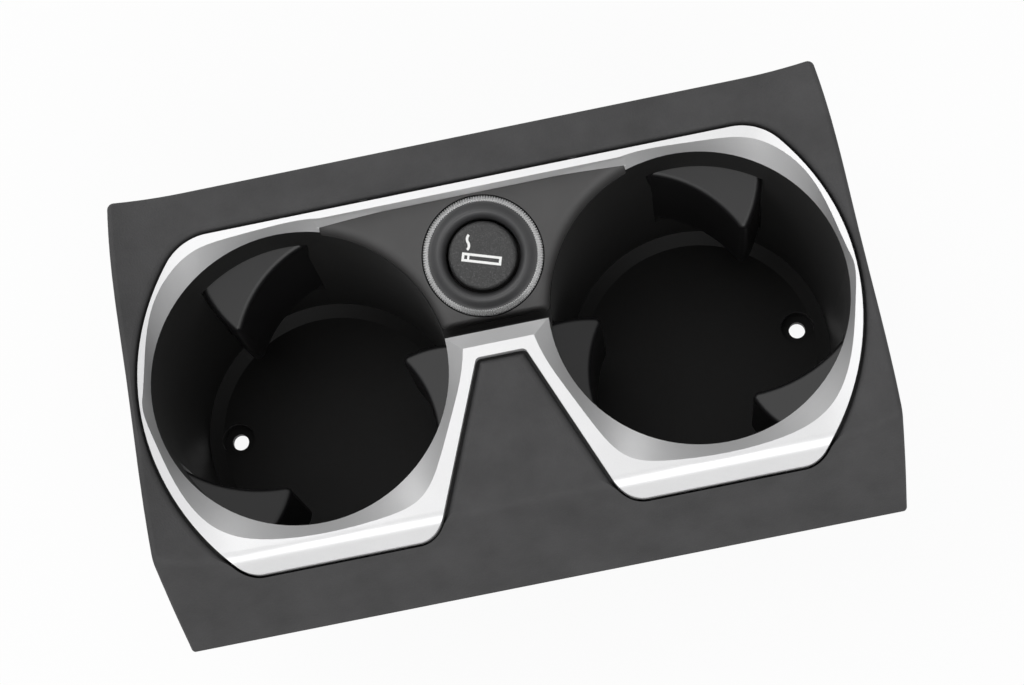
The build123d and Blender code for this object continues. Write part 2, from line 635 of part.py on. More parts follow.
# Window in the cup wall, hinge ears and the sill under the window, at angle zero
with BuildPart() as window_base:
    with BuildSketch(Plane.XY.offset(window_bottom_z)):
        with Locations(hinge):
            Circle(flap_reach + WINDOW_GAP)
        with Locations((0, -CUP_R)):
            Rectangle(3 * CUP_R, 2 * CUP_R, mode=Mode.INTERSECT)
        Circle(CUP_R + 3 * CUP_WALL, mode=Mode.INTERSECT)
        Circle(FLOOR_R - 3 * CUP_WALL, mode=Mode.SUBTRACT)
        with Locations(hinge):
            Circle(KNUCKLE_R + WINDOW_GAP)
    extrude(amount=window_top_z - window_bottom_z)
with BuildPart() as ears_base:
    with BuildSketch(Plane.XY.offset(window_bottom_z - EAR_H)):
        with Locations(hinge):
            Circle(flap_reach + STOP_REACH + 2 * WINDOW_GAP)
        Circle(SILL_R, mode=Mode.INTERSECT)
        Circle(FLOOR_R, mode=Mode.SUBTRACT)
        with Locations((0, -CUP_R)):
            Rectangle(3 * CUP_R, 2 * CUP_R, mode=Mode.INTERSECT)
    extrude(amount=EAR_H)
    with Locations((hinge[0], hinge[1], window_top_z), (hinge[0], hinge[1], window_bottom_z - EAR_H)):
        Cylinder(EAR_R, EAR_H, align=(Align.CENTER, Align.CENTER, Align.MIN))

# Cup housing: two cups, the flange, the well under the deck, flap windows and floor pillars
with BuildPart() as windows:
    for turn in FLAP_ANGLES:
        with Locations((CUP_X, CUP_Y, 0)):
            add(window_base.part, rotation=(0, 0, turn))
    mirror(about=Plane.YZ)
with BuildPart() as ears:
    for turn in FLAP_ANGLES:
        with Locations((CUP_X, CUP_Y, 0)):
            add(ears_base.part, rotation=(0, 0, turn))
    mirror(about=Plane.YZ)
with BuildPart() as pins:
    for turn in FLAP_ANGLES:
        with Locations((CUP_X, CUP_Y, 0)):
            add(pin_base.part, rotation=(0, 0, turn))
    mirror(about=Plane.YZ)
well_low = DECK_T / cos(radians(DECK_TILT))
seat_back_y = WALL_FOOT_Y + FIT
well_block = well(
    (
        (seat_back_y + WELL_WALL, RIM_Z - FLANGE_T / 2),
        (seat_back_y + WELL_WALL, deck_z(seat_back_y + WELL_WALL) - well_low - WELL_WALL),
        (DECK_FRONT_Y, deck_z(DECK_FRONT_Y) - well_low - WELL_WALL),
        (DECK_FRONT_Y - 1.5, VALLEY_Z - WELL_WALL),
        (VALLEY_FOOT_Y - 2.4, VALLEY_Z - WELL_WALL), (VALLEY_FOOT_Y - 2.4, RIM_Z - FLANGE_T / 2),
    ),
    CUP_X,
)
deck_seat = well(
    (
        (seat_back_y, RIM_Z + 1), (seat_back_y, deck_z(seat_back_y) - well_low),
        (DECK_FRONT_Y, deck_z(DECK_FRONT_Y) - well_low), (DECK_FRONT_Y - 1.5, VALLEY_Z),
        (VALLEY_FOOT_Y, VALLEY_Z), (VALLEY_FOOT_Y, RIM_Z + 1),
    ),
    DECK_HALF + FIT,
)
socket_bore = turned(
    (0, -8 * DECK_T), (BEZEL_SLEEVE_R + 4 * FIT, -8 * DECK_T), (BEZEL_SLEEVE_R + 4 * FIT, DECK_T), (0, DECK_T)
)
cups_outside = cup_space(CUP_WALL, RIM_Z)
cups_inside = cup_space(0.0, RIM_Z + 1)
with BuildPart() as cup_housing:
    with BuildSketch(Plane.XY.offset(RIM_Z - FLANGE_T)):
        with Locations((0, (FLANGE_FRONT_Y + FLANGE_BACK_Y) / 2)):
            RectangleRounded(2 * FLANGE_HALF, FLANGE_BACK_Y - FLANGE_FRONT_Y, 6)
        with Locations(*[(x, y) for x, y, _ in TAB_PLACES]):
            Rectangle(TAB_W + 2 * TAB_SLOT_GAP, TAB_T + 2 * TAB_SLOT_GAP, mode=Mode.SUBTRACT)
    extrude(amount=FLANGE_T)
    add(cups_outside)
    with Locations(*[(x, y, 0) for x, y in CUP_PLACES]):
        Cylinder(FOOT_R, FLOOR_Z, align=(Align.CENTER, Align.CENTER, Align.MIN))
        Cylinder(
            FOOT_R - FOOT_W, FLOOR_Z - FLOOR_T, align=(Align.CENTER, Align.CENTER, Align.MIN),
            mode=Mode.SUBTRACT,
        )
    with Locations((-HOLE_X, HOLE_Y, 0), (HOLE_X, HOLE_Y, 0)):
        Cylinder(PILLAR_R, FLOOR_Z, align=(Align.CENTER, Align.CENTER, Align.MIN))
    add(well_block)
    add(ears.part)
    add(deck_seat, mode=Mode.SUBTRACT)
    add(cups_inside, mode=Mode.SUBTRACT)
    add(windows.part, mode=Mode.SUBTRACT)
    add(socket_bore, mode=Mode.SUBTRACT)
    add(pins.part, mode=Mode.SUBTRACT)
    with Locations((-HOLE_X, HOLE_Y, RECESS_FLOOR_Z), (HOLE_X, HOLE_Y, RECESS_FLOOR_Z)):
        Cylinder(RECESS_R, FLOOR_Z, align=(Align.CENTER, Align.CENTER, Align.MIN), mode=Mode.SUBTRACT)
        Cylinder(HOLE_R, FLOOR_Z, mode=Mode.SUBTRACT)
    with Locations(*[(x, y, RIM_Z) for x, y in SCREW_PLACES]):
        Cylinder(SCREW_R + FIT, 2 * SIDE_RISE, mode=Mode.SUBTRACT)
cup_housing.part.label = "cup_housing"
export_step(cup_housing.part, "parts/cup_housing.step")

# Flaps, hinge pins and torsion springs of both cups
for base, kind in ((flap_base, "flap"), (pin_base, "hinge_pin"), (spring_base, "flap_spring")):
    for side in ("left", "right"):
        for number, turn in enumerate(FLAP_ANGLES, start=1):
            with BuildPart() as piece:
                with Locations((CUP_X, CUP_Y, 0)):
                    add(base.part, rotation=(0, 0, turn))
                if side == "left":
                    mirror(about=Plane.YZ, mode=Mode.REPLACE)
            piece.part.label = f"{kind}_{side}_{number}"
            export_step(piece.part, f"parts/{kind}_{side}_{number}.step")

# Bridge deck: a sloping plate with soft edges to the cups and the lighter's hole
deck_plate = well(
    (
        (WALL_FOOT_Y - FIT, deck_z(WALL_FOOT_Y - FIT)), (DECK_FRONT_Y, deck_z(DECK_FRONT_Y)),
        (DECK_FRONT_Y, deck_z(DECK_FRONT_Y) - well_low),
        (WALL_FOOT_Y - FIT, deck_z(WALL_FOOT_Y - FIT) - well_low),
    ),
    DECK_HALF,
)
deck_hole = turned((0, -2 * DECK_T), (DECK_HOLE_R, -2 * DECK_T), (DECK_HOLE_R, DECK_T), (0, DECK_T))
with BuildPart() as bridge_deck:
    add(deck_plate)
    with Locations(*[(x, y, RIM_Z) for x, y in CUP_PLACES]):
        Cylinder(CUP_R, CUP_DEPTH, mode=Mode.SUBTRACT)
    deck_top = bridge_deck.faces().filter_by(lambda f: f.normal_at().Z > 0.9).sort_by(SortBy.AREA)[-1]
    fillet(deck_top.edges().filter_by(lambda e: e.geom_type != GeomType.LINE), radius=DECK_SOFT)
    deck_edge = bridge_deck.edges().filter_by(Axis.X).sort_by(Axis.Y)[:2].sort_by(Axis.Z)[-1]
    fillet(deck_edge, radius=DECK_FRONT_SOFT)
    add(deck_hole, mode=Mode.SUBTRACT)
bridge_deck.part.label = "bridge_deck"
export_step(bridge_deck.part, "parts/bridge_deck.step")

# Lighter: ring, bezel, socket and its fixings
ring_floor = -1.0
ring_in = RING_R - RING_W
knurl_ring_body = turned(
    (ring_in, ring_floor), (RING_R, ring_floor), (RING_R, 0.0), (ring_in + 0.2, RING_RISE), (ring_in, RING_RISE)
)
bezel_body = turned(
    (BEZEL_BORE_R, -0.4), (BEZEL_BORE_R, BARREL_TOP + FIT), (BARREL_R + FIT, BARREL_TOP + FIT),
    (BARREL_R + FIT, BEZEL_LOW), (BEZEL_SLEEVE_R, BEZEL_LOW), (BEZEL_SLEEVE_R, -DECK_T), (RING_R, -DECK_T),
    (RING_R, ring_floor - FIT), (ring_in - FIT, ring_floor - FIT), (ring_in - FIT, 0.7),
    curve=(
        (CROWN_R + 2.4, 0.95), (CROWN_R + 1.5, 1.7), (CROWN_R + 0.7, CROWN_TOP - 0.25), (CROWN_R, CROWN_TOP),
        (CROWN_R - 0.7, CROWN_TOP - 0.4), (CROWN_R - 1.4, CROWN_TOP - 1.4),
    ),
)
barrel_body = turned(
    (BARREL_BORE_R, BARREL_TOP), (BARREL_R, BARREL_TOP), (BARREL_R, BARREL_BOTTOM),
    (INSULATOR_R, BARREL_BOTTOM), (INSULATOR_R, BARREL_BOTTOM + 0.8), (BARREL_BORE_R, BARREL_BOTTOM + 0.8),
)
nut_top = -DECK_T - WELL_WALL - FIT
nut_r = BEZEL_SLEEVE_R + 2.0
nut_body = turned(
    (BEZEL_SLEEVE_R + FIT, nut_top), (nut_r + 1.4, nut_top), (nut_r + 1.4, nut_top - 2.0),
    (nut_r, nut_top - 2.0), (nut_r, nut_top - 9.0), (BEZEL_SLEEVE_R + FIT, nut_top - 9.0),
)
insulator_body = turned(
    (CONTACT_R + FIT, INSULATOR_TOP), (INSULATOR_R - FIT, INSULATOR_TOP),
    (INSULATOR_R - FIT, BARREL_BOTTOM - FIT), (BARREL_R - 2.3, BARREL_BOTTOM - FIT),
    (BARREL_R - 2.3, INSULATOR_LOW), (CONTACT_R + FIT, INSULATOR_LOW),
)
contact_body = turned(
    (0, CONTACT_TOP), (CONTACT_R + 1.2, CONTACT_TOP), (CONTACT_R + 1.2, INSULATOR_TOP + FIT),
    (CONTACT_R, INSULATOR_TOP + FIT), (CONTACT_R, CONTACT_LOW), (0, CONTACT_LOW),
)
clip_r = BARREL_BORE_R - 2.4
clip_body = turned(
    (0, CONTACT_TOP + FIT), (clip_r, CONTACT_TOP + FIT), (clip_r, CONTACT_TOP + 6.6),
    (clip_r - 0.5, CONTACT_TOP + 6.6), (clip_r - 0.5, CONTACT_TOP + 0.6), (0, CONTACT_TOP + 0.6),
)
for body, name in (
    (knurl_ring_body, "knurl_ring"), (bezel_body, "lighter_bezel"), (barrel_body, "socket_barrel"),
    (nut_body, "retaining_nut"), (insulator_body, "socket_insulator"), (contact_body, "centre_contact"),
    (clip_body, "element_clip"),
):
    with BuildPart() as piece:
        add(body)
        if name == "retaining_nut":
            with Locations(lighter_plane * Location((0, 0, nut_top - 5.5))):
                with PolarLocations(nut_r + 0.6, 6):
                    Box(1.8, 3.0, 7.0)
    piece.part.label = name
    export_step(piece.part, f"parts/{name}.step")
blade = (6.3, 0.8, 11.0)
with BuildPart() as centre_terminal:
    with Locations(lighter_plane * Location((0, 0, CONTACT_LOW - FIT))):
        Cylinder(3.0, 0.8, align=(Align.CENTER, Align.CENTER, Align.MAX))
        Box(*blade, align=(Align.CENTER, Align.CENTER, Align.MAX))
centre_terminal.part.label = "centre_terminal"
export_step(centre_terminal.part, "parts/centre_terminal.step")
with BuildPart() as shell_terminal:
    with Locations(lighter_plane * Location((0, BARREL_R + FIT + 0.4, BARREL_BOTTOM + 4))):
        Box(blade[0], blade[1], 16.0, align=(Align.CENTER, Align.CENTER, Align.MAX))
shell_terminal.part.label = "shell_terminal"
export_step(shell_terminal.part, "parts/shell_terminal.step")

# Lighter plug: sleeve, knob, heating element and return spring
sleeve_top = HEAD_LOW - PRESS_TRAVEL - PRESS_GAP
sleeve_body = turned(
    (PLUG_BORE_R, sleeve_top), (PLUG_R, sleeve_top), (PLUG_R, SLEEVE_FLOOR), (ROD_R + 0.6, SLEEVE_FLOOR),
    (ROD_R + 0.6, SLEEVE_FLOOR + SLEEVE_T), (PLUG_BORE_R, SLEEVE_FLOOR + SLEEVE_T),
)
knob_hollow = KNOB_TOP - 3.0
knob_body = turned(
    (KNOB_HEAD_R, KNOB_TOP - KNOB_ROLL), (KNOB_HEAD_R, HEAD_LOW), (KNOB_R, HEAD_LOW), (KNOB_R, KNOB_SKIRT),
    (KNOB_R - 1.5, KNOB_SKIRT), (KNOB_R - 1.5, knob_hollow), (ROD_R + 1.4, knob_hollow),
    (ROD_R + 1.4, KNOB_SKIRT), (ROD_R + FIT, KNOB_SKIRT), (ROD_R + FIT, ROD_TOP), (0, ROD_TOP),
    (0, KNOB_TOP), (KNOB_HEAD_R - KNOB_ROLL, KNOB_TOP),
    curve=((KNOB_HEAD_R - 0.3 * KNOB_ROLL, KNOB_TOP - 0.3 * KNOB_ROLL),),
)
element_top = SLEEVE_FLOOR - 0.6
element_low = element_top - 4.4
element_r = clip_r - 1.0
element_body = turned(
    (0, ROD_TOP - FIT), (ROD_R, ROD_TOP - FIT), (ROD_R, element_top), (element_r, element_top),
    (element_r, element_low), (element_r - 0.6, element_low), (element_r - 0.6, element_top - 0.8),
    (0, element_top - 0.8),
)
spring_low = SLEEVE_FLOOR + SLEEVE_T + FIT
spring_body = turned(
    (RETURN_SPRING_IN_R, spring_low), (RETURN_SPRING_OUT_R, spring_low),
    (RETURN_SPRING_OUT_R, knob_hollow - FIT), (RETURN_SPRING_IN_R, knob_hollow - FIT),
)
for body, name in (
    (sleeve_body, "lighter_sleeve"), (knob_body, "lighter_knob"), (element_body, "lighter_element"),
    (spring_body, "lighter_spring"),
):
    with BuildPart() as piece:
        add(body)
    piece.part.label = name
    export_step(piece.part, f"parts/{name}.step")

# Screws from below through the flange into the fascia's bosses
head_top = RIM_Z - FLANGE_T
for number, (x, y) in enumerate(SCREW_PLACES, start=1):
    with BuildPart() as screw:
        with Locations((x, y, head_top)):
            Cylinder(SCREW_HEAD_R, SCREW_HEAD_H, align=(Align.CENTER, Align.CENTER, Align.MAX))
            Cylinder(SCREW_R, FLANGE_T + SCREW_DEPTH - 0.3, align=(Align.CENTER, Align.CENTER, Align.MIN))
        with Locations((x, y, head_top - SCREW_HEAD_H)):
            Box(3.6, 0.8, 2 * SCREW_HEAD_H / 3, mode=Mode.SUBTRACT)
            Box(0.8, 3.6, 2 * SCREW_HEAD_H / 3, mode=Mode.SUBTRACT)
    screw.part.label = f"housing_screw_{number}"
    export_step(screw.part, f"parts/housing_screw_{number}.step")

# Spring clips over the tabs
clip_in = TAB_T / 2 + CLIP_T / 2 + FIT
for number, (x, y, z) in enumerate(TAB_PLACES, start=1):
    with BuildPart() as console_clip:
        with BuildSketch(Plane(origin=(x, y, z), x_dir=(0, 1, 0), z_dir=(1, 0, 0))):
            with BuildLine():
                Polyline(
                    (-clip_in - 0.3, CLIP_H), (-clip_in - CLIP_BULGE, 0.6 * CLIP_H), (-clip_in, 0.5),
                    (-clip_in, -CLIP_T / 2 - FIT), (clip_in, -CLIP_T / 2 - FIT), (clip_in, 0.5),
                    (clip_in + CLIP_BULGE, 0.6 * CLIP_H), (clip_in + 0.3, CLIP_H),
                )
            trace(line_width=CLIP_T)
        extrude(amount=CLIP_W / 2, both=True)
    console_clip.part.label = f"console_clip_{number}"
    export_step(console_clip.part, f"parts/console_clip_{number}.step")
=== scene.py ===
"""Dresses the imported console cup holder: finishes, knurled ring, lighter sign, wound springs and studio."""
from __future__ import annotations

import json
import logging
import math
from dataclasses import dataclass, field
from enum import Enum
from typing import Any, Callable, Iterable, Mapping, Sequence

import bmesh
import bpy
from mathutils import Matrix, Vector

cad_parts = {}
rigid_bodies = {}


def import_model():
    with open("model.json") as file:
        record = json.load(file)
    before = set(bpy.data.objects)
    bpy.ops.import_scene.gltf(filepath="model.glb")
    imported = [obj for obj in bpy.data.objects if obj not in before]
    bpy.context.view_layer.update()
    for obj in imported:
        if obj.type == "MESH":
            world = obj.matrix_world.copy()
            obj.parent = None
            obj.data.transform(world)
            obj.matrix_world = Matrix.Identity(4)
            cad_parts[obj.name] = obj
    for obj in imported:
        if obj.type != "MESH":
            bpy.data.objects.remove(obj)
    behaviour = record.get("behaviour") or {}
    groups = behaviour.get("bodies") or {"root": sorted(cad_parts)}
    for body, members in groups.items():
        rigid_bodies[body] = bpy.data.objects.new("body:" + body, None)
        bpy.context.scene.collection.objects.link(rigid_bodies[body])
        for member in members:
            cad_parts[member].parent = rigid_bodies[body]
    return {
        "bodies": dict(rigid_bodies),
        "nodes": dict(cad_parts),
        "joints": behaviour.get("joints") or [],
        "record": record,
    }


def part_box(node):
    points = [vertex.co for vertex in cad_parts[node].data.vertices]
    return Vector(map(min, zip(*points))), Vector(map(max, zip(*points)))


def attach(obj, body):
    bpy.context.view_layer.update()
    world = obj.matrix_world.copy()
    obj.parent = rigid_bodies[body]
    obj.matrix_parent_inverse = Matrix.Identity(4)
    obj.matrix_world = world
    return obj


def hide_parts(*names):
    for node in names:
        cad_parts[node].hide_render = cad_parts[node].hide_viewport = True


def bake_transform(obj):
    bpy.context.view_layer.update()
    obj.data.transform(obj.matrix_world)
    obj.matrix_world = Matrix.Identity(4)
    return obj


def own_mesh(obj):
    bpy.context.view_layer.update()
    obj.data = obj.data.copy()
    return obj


LOG = logging.getLogger("cup_holder")
MM = 0.001
HAIR = 0.01 * MM
Colour = tuple[float, float, float]


class Side(Enum):
    """Which of the two cups a piece belongs to, with the sign of its X."""

    LEFT = -1
    RIGHT = 1

    @property
    def word(self) -> str:
        """Name of the side as the nodes spell it."""
        return self.name.lower()


class Term:
    """One shader socket that takes part in Python arithmetic."""

    def __init__(self, graph: "Graph", socket: bpy.types.NodeSocket) -> None:
        """Keeps the graph that new nodes go into and the socket to read.

        Args:
            graph: the material's node graph.
            socket: an output socket of one of its nodes.
        """
        self.graph = graph
        self.socket = socket

    def _math(self, operation: str, first: Any, second: Any) -> "Term":
        """Adds one Math node.

        Args:
            operation: the node's operation.
            first: a term or a number.
            second: a term or a number.

        Returns:
            The node's result as a term.
        """
        return self.graph.node("ShaderNodeMath", {"operation": operation}, {0: first, 1: second})

    def __add__(self, other: Any) -> "Term":
        """Sum with a term or a number."""
        return self._math("ADD", self, other)

    def __radd__(self, other: Any) -> "Term":
        """Sum with a number on the left."""
        return self._math("ADD", other, self)

    def __sub__(self, other: Any) -> "Term":
        """Difference from a term or a number."""
        return self._math("SUBTRACT", self, other)

    def __rsub__(self, other: Any) -> "Term":
        """Difference of a number on the left."""
        return self._math("SUBTRACT", other, self)

    def __mul__(self, other: Any) -> "Term":
        """Product with a term or a number."""
        return self._math("MULTIPLY", self, other)

    def __rmul__(self, other: Any) -> "Term":
        """Product with a number on the left."""
        return self._math("MULTIPLY", other, self)


class Graph:
    """Node graph of one material or of the world."""

    def __init__(self, owner: bpy.types.Material | bpy.types.World) -> None:
        """Starts an empty graph.

        Args:
            owner: the material or world that the nodes belong to.
        """
        owner.use_nodes = True
        self.owner = owner
        self.tree = owner.node_tree
        self.tree.nodes.clear()

    def node(
        self,
        kind: str,
        settings: Mapping[str, Any] | None = None,
        inputs: Mapping[Any, Any] | None = None,
        output: Any = 0,
    ) -> Term:
        """Adds a node, sets it up and links it.

        Args:
            kind: the node's type name.
            settings: attributes set before the sockets; stops fills a ramp.
            inputs: numbers, colours or terms by socket name or number.
            output: the output socket to hand back.

        Returns:
            The chosen output as a term.
        """
        made = self.tree.nodes.new(kind)
        for key, value in (settings or {}).items():
            if key == "stops":
                ramp = made.color_ramp
                while len(ramp.elements) < len(value):
                    ramp.elements.new(1.0)
                for element, (place, level) in zip(ramp.elements, value):
                    element.position = place
                    element.color = (level, level, level, 1.0)
            else:
                setattr(made, key, value)
        for key, value in (inputs or {}).items():
            if isinstance(value, Term):
                self.tree.links.new(value.socket, made.inputs[key])
            elif isinstance(value, (tuple, list)) and made.inputs[key].type == "RGBA":
                made.inputs[key].default_value = (*value, 1.0)
            else:
                made.inputs[key].default_value = value
        return Term(self, made.outputs[output] if made.outputs else None)

    def place(self, scale: Sequence[float] = (1.0, 1.0, 1.0)) -> Term:
        """Object coordinates, stretched along the axes.

        Args:
            scale: factor for each axis.

        Returns:
            The coordinates as a term.
        """
        raw = self.node("ShaderNodeTexCoord", output="Object")
        if tuple(scale) == (1.0, 1.0, 1.0):
            return raw
        return self.node("ShaderNodeMapping", None, {"Vector": raw, "Scale": tuple(scale)})

    def noise(self, size: float, detail: float = 2.0, where: Term | None = None) -> Term:
        """Noise with features of about a size.

        Args:
            size: size of a feature in metres.
            detail: octaves of finer noise.
            where: coordinates, or None for the object's own.

        Returns:
            The noise level, about 0 to 1.
        """
        return self.node(
            "ShaderNodeTexNoise",
            {"noise_dimensions": "3D"},
            {"Vector": where or self.place(), "Scale": 1.0 / size, "Detail": detail, "Roughness": 0.55},
        )

    def ramp(self, level: Term, *stops: tuple[float, float]) -> Term:
        """Maps a level through grey stops.

        Args:
            level: the term to map.
            stops: pairs of place and level.

        Returns:
            The mapped level.
        """
        return self.node("ShaderNodeValToRGB", {"stops": stops}, {"Fac": level})

    def blend(self, level: Term, low: Colour | Term, high: Colour | Term) -> Term:
        """Mixes two colours by a level.

        Args:
            level: 0 gives low and 1 gives high.
            low: linear colour or a term.
            high: linear colour or a term.

        Returns:
            The mixed colour.
        """
        return self.node(
            "ShaderNodeMix", {"data_type": "RGBA"}, {"Factor": level, 6: low, 7: high}, output=2
        )

    def bump(self, height: Term, depth: float) -> Term:
        """Bump normal from a height.

        Args:
            height: height between 0 and 1.
            depth: metres that a height of 1 stands for.

        Returns:
            The bumped normal.
        """
        return self.node(
            "ShaderNodeBump", None, {"Height": height, "Strength": 1.0, "Distance": depth}
        )

    def surface(self, **inputs: Any) -> bpy.types.Material:
        """Closes the graph with a Principled surface.

        Args:
            inputs: socket values, with spaces in the names written as underscores.

        Returns:
            The finished material.
        """
        named = {key.replace("_", " "): value for key, value in inputs.items()}
        shader = self.node("ShaderNodeBsdfPrincipled", None, named)
        self.node("ShaderNodeOutputMaterial", None, {"Surface": shader})
        return self.owner


def shade(colour: Colour, factor: float) -> Colour:
    """Scales a linear colour.

    Args:
        colour: linear colour.
        factor: factor for every channel.

    Returns:
        The scaled colour.
    """
    return tuple(min(1.0, channel * factor) for channel in colour)


@dataclass(frozen=True)
class MouldedPlastic:
    """Moulded plastic with an eroded grain, faint mottling and uneven sheen, with painted glints and painted
    crevice shade where asked.
    """

    name: str
    colour: Colour
    roughness: float
    grain: float = 0.35 * MM
    depth: float = 0.010 * MM
    mottle: float = 0.10
    specular: float = 0.5
    blotch: float = 14.0 * MM
    crevice: float = 0.0
    spark: float = 0.0
    sheen: float = 0.0

    def make(self) -> bpy.types.Material:
        """Builds the material.

        Returns:
            The new material.
        """
        graph = Graph(bpy.data.materials.new(self.name))
        cloud = graph.noise(self.blotch, 4.0)
        fine = graph.noise(self.grain, 2.0)
        speck = graph.noise(self.grain * 0.45, 1.0)
        tone = graph.ramp(cloud, (0.30, 0.0), (0.70, 1.0))
        pits = graph.ramp(fine, (0.38, 0.0), (0.62, 1.0))
        colour = graph.blend(
            tone, shade(self.colour, 1.0 - self.mottle), shade(self.colour, 1.0 + self.mottle)
        )
        # Painted glints: specks of the grain raised to four times the base colour.
        if self.spark:
            glint = self.spark * graph.ramp(speck, (0.56, 0.0), (0.68, 1.0))
            colour = graph.blend(glint, colour, shade(self.colour, 4.0))
        # Painted shade: the base colour darkens to an eighth where ambient occlusion finds gaps and crevices
        # close by.
        if self.crevice:
            open_air = graph.node(
                "ShaderNodeAmbientOcclusion", {"samples": 6}, {"Distance": self.crevice}, output="AO"
            )
            painted_crevice_shade = graph.ramp(open_air, (0.15, 0.0), (0.55, 1.0))
            colour = graph.blend(painted_crevice_shade, shade(self.colour, 0.12), colour)
        matt = self.roughness + 0.10 * (fine - 0.5) + 0.08 * (cloud - 0.5)
        relief = graph.bump(0.7 * pits + 0.3 * speck, self.depth)
        return graph.surface(
            Base_Color=colour, Roughness=matt, Normal=relief, Specular_IOR_Level=self.specular,
            Sheen_Weight=self.sheen, Sheen_Roughness=0.5,
        )


@dataclass(frozen=True)
class SatinSilver:
    """Silver metallised plastic with a fine flake and soft brushed sheen."""

    name: str
    colour: Colour
    roughness: float
    flake: float = 0.12 * MM
    metallic: float = 1.0

    def make(self) -> bpy.types.Material:
        """Builds the material.

        Returns:
            The new material.
        """
        graph = Graph(bpy.data.materials.new(self.name))
        flakes = graph.noise(self.flake, 1.0)
        cloud = graph.noise(22.0 * MM, 3.0)
        tone = graph.ramp(0.6 * flakes + 0.4 * cloud, (0.30, 0.0), (0.70, 1.0))
        colour = graph.blend(tone, shade(self.colour, 0.93), shade(self.colour, 1.05))
        sheen = self.roughness + 0.10 * (flakes - 0.5) + 0.06 * (cloud - 0.5)
        relief = graph.bump(flakes, 0.0012 * MM)
        return graph.surface(
            Base_Color=colour, Metallic=self.metallic, Roughness=sheen, Normal=relief,
            Coat_Weight=0.25, Coat_Roughness=0.12,
        )


@dataclass(frozen=True)
class PlainMetal:
    """Drawn, turned or plated metal with fine lines and a little tarnish."""

    name: str
    colour: Colour
    roughness: float
    lines: tuple[float, float, float] = (1.0, 1.0, 0.05)
    tarnish: float = 0.25

    def make(self) -> bpy.types.Material:
        """Builds the material.

        Returns:
            The new material.
        """
        graph = Graph(bpy.data.materials.new(self.name))
        drawn = graph.noise(0.25 * MM, 2.0, graph.place(self.lines))
        stain = graph.ramp(graph.noise(6.0 * MM, 4.0), (0.42, 0.0), (0.75, 1.0))
        dull = graph.blend(stain, self.colour, shade(self.colour, 1.0 - self.tarnish))
        sheen = self.roughness + 0.14 * (drawn - 0.5) + 0.12 * stain
        relief = graph.bump(drawn, 0.004 * MM)
        return graph.surface(Base_Color=dull, Metallic=1.0, Roughness=sheen, Normal=relief)


@dataclass(frozen=True)
class PadPrint:
    """Pale ink printed on the knob, slightly uneven."""

    name: str
    colour: Colour

    def make(self) -> bpy.types.Material:
        """Builds the material.

        Returns:
            The new material.
        """
        graph = Graph(bpy.data.materials.new(self.name))
        spots = graph.noise(0.25 * MM, 3.0)
        ink = graph.blend(
            graph.ramp(spots, (0.32, 0.0), (0.55, 1.0)), shade(self.colour, 0.90), self.colour
        )
        relief = graph.bump(spots, 0.004 * MM)
        return graph.surface(Base_Color=ink, Roughness=0.45 + 0.1 * spots, Normal=relief)


Finish = MouldedPlastic | SatinSilver | PlainMetal | PadPrint

# The fascia carries painted shade in the gaps round the trim and in its other crevices.
FASCIA = MouldedPlastic(
    "fascia_soft_grain", (0.0385, 0.0380, 0.0390), 0.62, 0.60 * MM, 0.050 * MM, 0.26, 0.40, crevice=3.0 * MM
)
SILVER = SatinSilver("trim_satin_silver", (0.74, 0.74, 0.745), 0.33, metallic=0.30)
CUP_BLACK = MouldedPlastic(
    "cup_black_grain", (0.0042, 0.0040, 0.0038), 0.48, 0.35 * MM, 0.010 * MM, 0.20, 0.15, sheen=0.05
)
DECK_GREY = MouldedPlastic(
    "deck_satin_grey", (0.0580, 0.0570, 0.0570), 0.46, 0.30 * MM, 0.006 * MM, 0.10, 0.40
)
FLAP_BLACK = MouldedPlastic(
    "flap_satin_black", (0.0070, 0.0068, 0.0072), 0.36, 0.25 * MM, 0.004 * MM, 0.12, 0.38
)
BEZEL_BLACK = MouldedPlastic(
    "bezel_satin_black", (0.0420, 0.0420, 0.0435), 0.42, 0.25 * MM, 0.008 * MM, 0.10, 0.50
)
KNOB_BLACK = MouldedPlastic(
    "knob_spark_grain", (0.0215, 0.0215, 0.0217), 0.50, 0.70 * MM, 0.120 * MM, 0.15, 0.50, spark=0.8
)
KNURL_SILVER = SatinSilver("ring_satin_knurl", (0.72, 0.72, 0.72), 0.30, metallic=0.60)
SLEEVE_BLACK = PlainMetal("sleeve_blackened", (0.035, 0.034, 0.034), 0.45)
SPRING_STEEL = PlainMetal("spring_drawn_wire", (0.46, 0.46, 0.48), 0.32)
PIN_STEEL = PlainMetal("pin_ground_steel", (0.58, 0.58, 0.60), 0.22)
SCREW_ZINC = PlainMetal("screw_zinc_plate", (0.50, 0.51, 0.53), 0.30)
CLIP_STEEL = PlainMetal("clip_phosphated", (0.16, 0.16, 0.17), 0.42)
TUBE_STEEL = PlainMetal("socket_plated_tube", (0.62, 0.62, 0.63), 0.26)
CONTACT_BRASS = PlainMetal("contact_brass", (0.72, 0.54, 0.24), 0.28)
NUT_NYLON = MouldedPlastic("nut_natural_nylon", (0.60, 0.58, 0.52), 0.48, 0.30 * MM, 0.006 * MM, 0.05)
BOARD_BROWN = MouldedPlastic("insulator_board", (0.16, 0.075, 0.035), 0.55, 0.30 * MM, 0.010 * MM, 0.15)
SIGN_WHITE = PadPrint("sign_white_ink", (0.92, 0.92, 0.91))


class Wardrobe:
    """Makes each finish once and hands out its material."""

    def __init__(self) -> None:
        """Starts with no material made."""
        self._made: dict[str, bpy.types.Material] = {}

    def material(self, finish: Finish) -> bpy.types.Material:
        """Material of a finish, made on first use.

        Args:
            finish: the finish to wear.

        Returns:
            Its material.
        """
        if finish.name not in self._made:
            self._made[finish.name] = finish.make()
        return self._made[finish.name]


